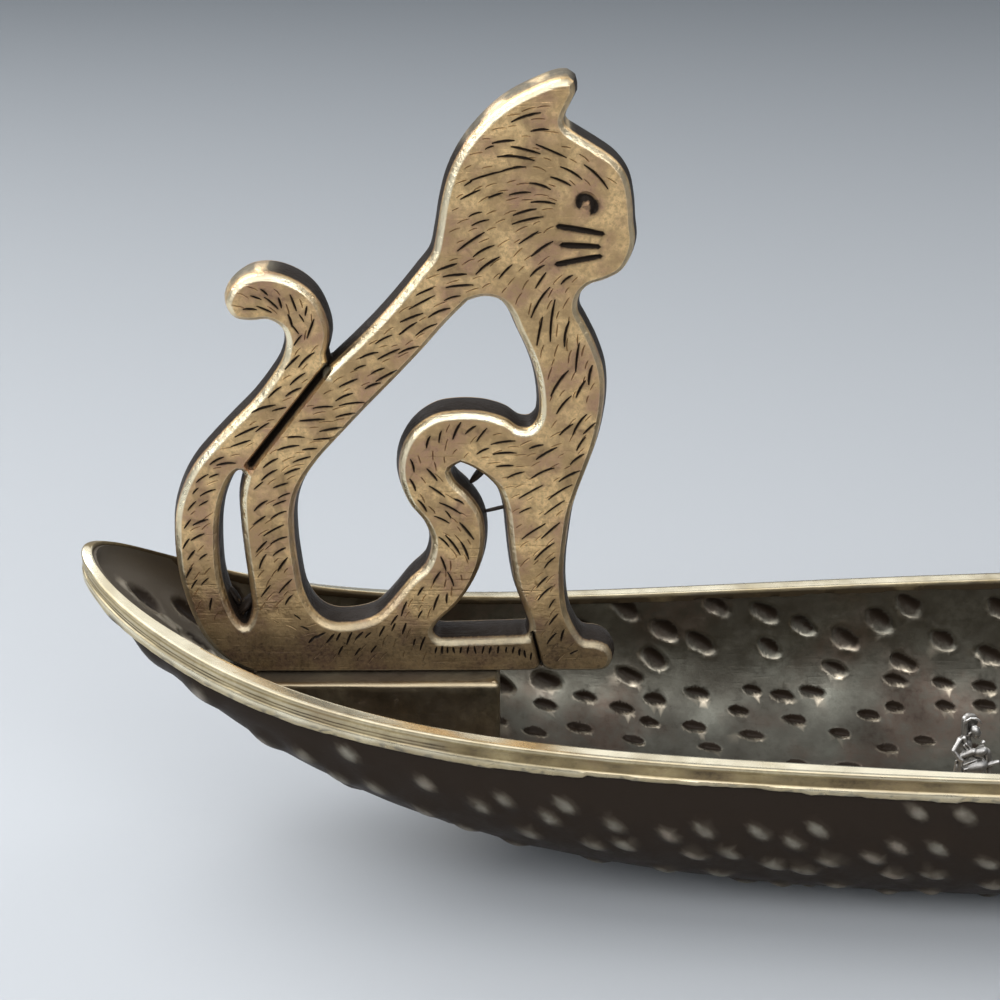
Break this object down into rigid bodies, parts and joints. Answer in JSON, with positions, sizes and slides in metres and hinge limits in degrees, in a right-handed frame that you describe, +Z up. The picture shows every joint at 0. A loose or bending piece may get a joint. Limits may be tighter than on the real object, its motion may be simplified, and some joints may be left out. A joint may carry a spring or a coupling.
{
  "type": "incense burner tray",
  "caption": "Boat-shaped hammered metal tray with a polished rim, a flat cast cat plaque standing on a block near one tip, and a small seated figure that holds an incense stick.",
  "frame": {"origin": "on the surface that the tray stands on, under the middle of its length and width", "axes": "+X along the tray from the cat's tip to the other tip, +Y square to the cat's flat faces and away from its front, +Z up"},
  "size_m": [0.28, 0.0512, 0.0919],
  "materials": {
    "hammered_bronze": "hammered and darkened",
    "polished_brass": "polished by wear",
    "aged_brass": "cast, antiqued, dark in the engraving",
    "dark_brass": "darkened",
    "screw_brass": "plain turned",
    "white_metal": "silvery, cast and rubbed bright"
  },
  "bodies": {
    "tray": {"tray_shell": "hammered_bronze", "rim_band": "polished_brass", "cat_block": "dark_brass", "cat": "aged_brass", "cat_pin_left": "screw_brass", "cat_pin_right": "screw_brass", "block_screw_outer": "screw_brass", "block_screw_inner": "screw_brass", "block_washer_outer": "screw_brass", "block_washer_inner": "screw_brass", "holder_seat": "dark_brass"},
    "stick_holder": {"holder_base": "dark_brass", "seated_figure": "white_metal"}
  },
  "joints": [
    {"name": "stick_holder_lift", "type": "slide", "parent": "tray", "child": "stick_holder", "axis": [0, 0, 1], "range_m": [0, 0.03]}
  ]
}
